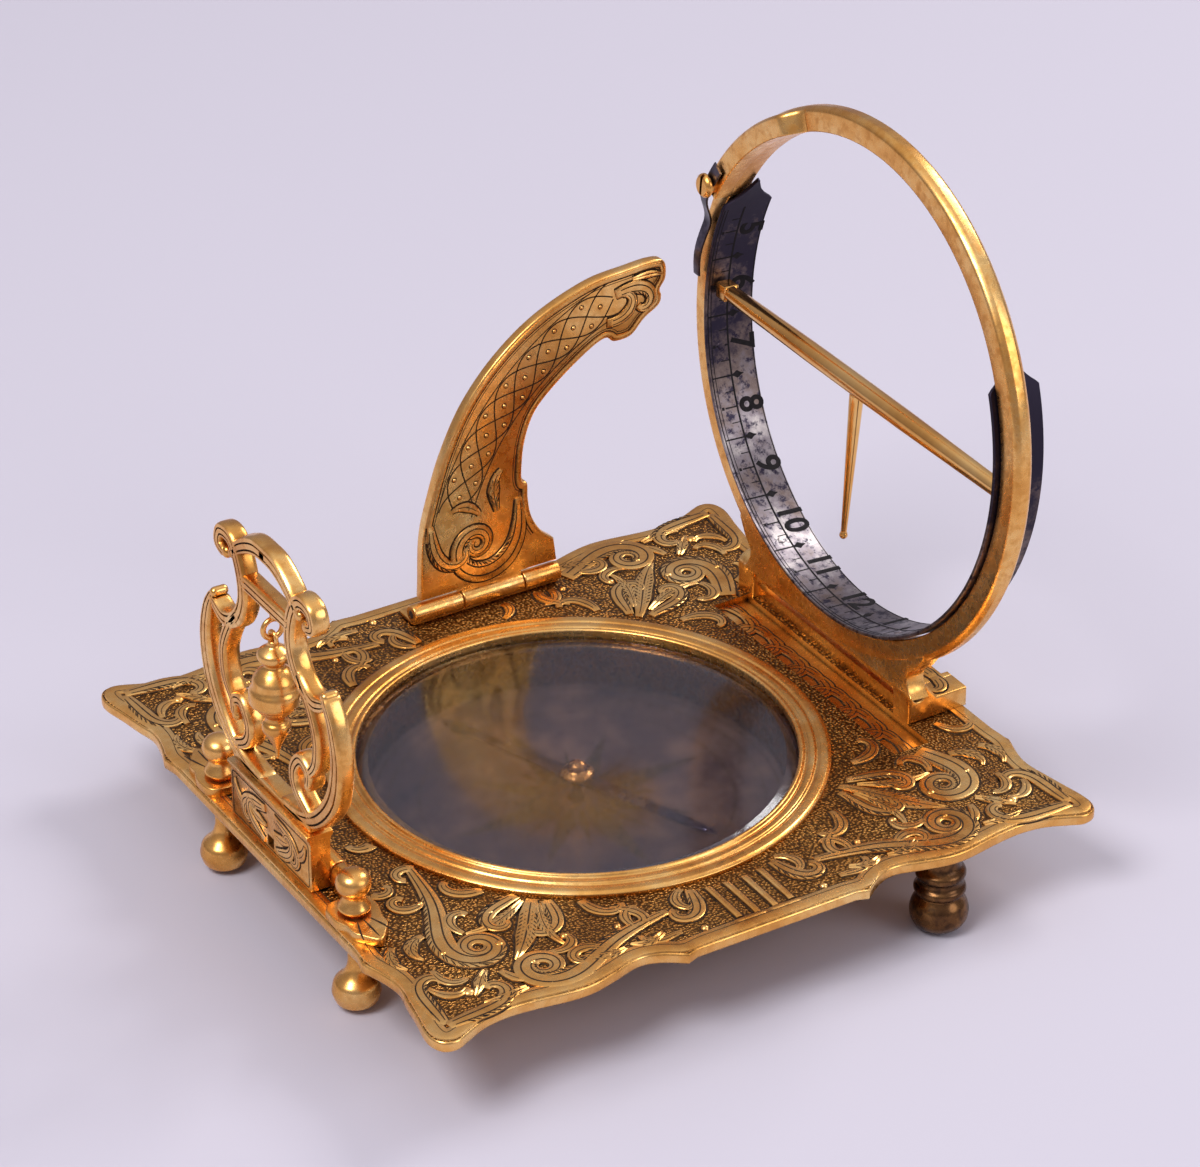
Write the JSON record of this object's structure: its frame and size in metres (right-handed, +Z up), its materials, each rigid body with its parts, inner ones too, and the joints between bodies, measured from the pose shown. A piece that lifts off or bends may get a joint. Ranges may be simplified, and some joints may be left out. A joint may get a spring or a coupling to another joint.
{
  "type": "equinoctial sundial",
  "caption": "Folding gilt equinoctial sundial with a compass in its base, a hinged hour ring, a latitude arc and a plumb bracket.",
  "frame": {"origin": "middle of the base plate, on the surface that the feet stand on", "axes": "+X from the plumb bracket to the hour ring's hinge, +Y to the latitude arc, +Z up"},
  "size_m": [0.0734, 0.0694, 0.0691],
  "materials": {
    "gilt_brass": "fire-gilt, engraved and punched, worn bright on the edges",
    "box_brass": "turned, darkened with age",
    "silvered_band": "silvered, engraved, tarnished at the ends",
    "blued_steel": "blued, satin",
    "pin_steel": "drawn, slightly dark",
    "compass_glass": "clear, bevelled rim",
    "compass_card": "printed, darkened"
  },
  "bodies": {
    "base": {"base_plate": "gilt_brass", "compass_bezel": "gilt_brass", "compass_glass": "compass_glass", "compass_box": "box_brass", "box_screw_1": "gilt_brass", "box_screw_2": "gilt_brass", "box_screw_3": "gilt_brass", "compass_card": "compass_card", "compass_pivot": "pin_steel", "rear_foot_left": "gilt_brass", "rear_foot_right": "gilt_brass", "screw_boss_left": "gilt_brass", "screw_boss_right": "gilt_brass", "ring_hinge_block": "gilt_brass", "ring_hinge_pin": "pin_steel", "arc_hinge_leaf": "gilt_brass", "arc_hinge_pin": "pin_steel", "plummet_hinge": "gilt_brass", "plummet_hinge_pin": "pin_steel"},
    "ring": {"hour_ring": "gilt_brass", "hour_band": "silvered_band", "band_rivet_1": "silvered_band", "band_rivet_2": "silvered_band", "band_rivet_3": "silvered_band", "band_rivet_4": "silvered_band", "gnomon_spring": "blued_steel", "spring_screw": "gilt_brass"},
    "gnomon": {"gnomon_axle": "gilt_brass", "gnomon_pin": "gilt_brass"},
    "arc": {"latitude_arc": "gilt_brass"},
    "bracket": {"plummet_block": "gilt_brass", "plummet_frame": "gilt_brass", "plummet_eye": "gilt_brass"},
    "bob": {"plumb_bob": "gilt_brass"},
    "needle": {"compass_needle": "blued_steel", "needle_cap": "gilt_brass"},
    "left_screw": {"levelling_screw_left": "gilt_brass"},
    "right_screw": {"levelling_screw_right": "gilt_brass"}
  },
  "joints": [
    {"name": "ring_tilt", "type": "hinge", "parent": "base", "child": "ring", "pos_m": [0.0304, 0, 0.0126], "axis": [0, -1, 0], "range_deg": [-4, 88]},
    {"name": "gnomon_turn", "type": "hinge", "parent": "ring", "child": "gnomon", "pos_m": [0.03068, 0, 0.04144], "axis": [0, -1, 0], "range_deg": [-90, 90]},
    {"name": "arc_fold", "type": "hinge", "parent": "base", "child": "arc", "pos_m": [0, 0.0292, 0.01085], "axis": [-1, 0, 0], "range_deg": [-88.5, 0]},
    {"name": "bracket_fold", "type": "hinge", "parent": "base", "child": "bracket", "pos_m": [-0.0322, 0, 0.01135], "axis": [0, -1, 0], "range_deg": [-88, 0]},
    {"name": "bob_swing", "type": "hinge", "parent": "bracket", "child": "bob", "pos_m": [-0.0341, 0, 0.0344], "axis": [0, -1, 0], "range_deg": [-60, 60]},
    {"name": "needle_turn", "type": "hinge", "parent": "base", "child": "needle", "pos_m": [-0.0013, 0, 0.0065], "axis": [0, 0, 1], "continuous": true},
    {"name": "left_screw_turn", "type": "hinge", "parent": "base", "child": "left_screw", "pos_m": [-0.0336, 0.0134, 0], "axis": [0, 0, 1], "range_deg": [-180, 180]},
    {"name": "right_screw_turn", "type": "hinge", "parent": "base", "child": "right_screw", "pos_m": [-0.0336, -0.0134, 0], "axis": [0, 0, 1], "range_deg": [-180, 180]}
  ]
}
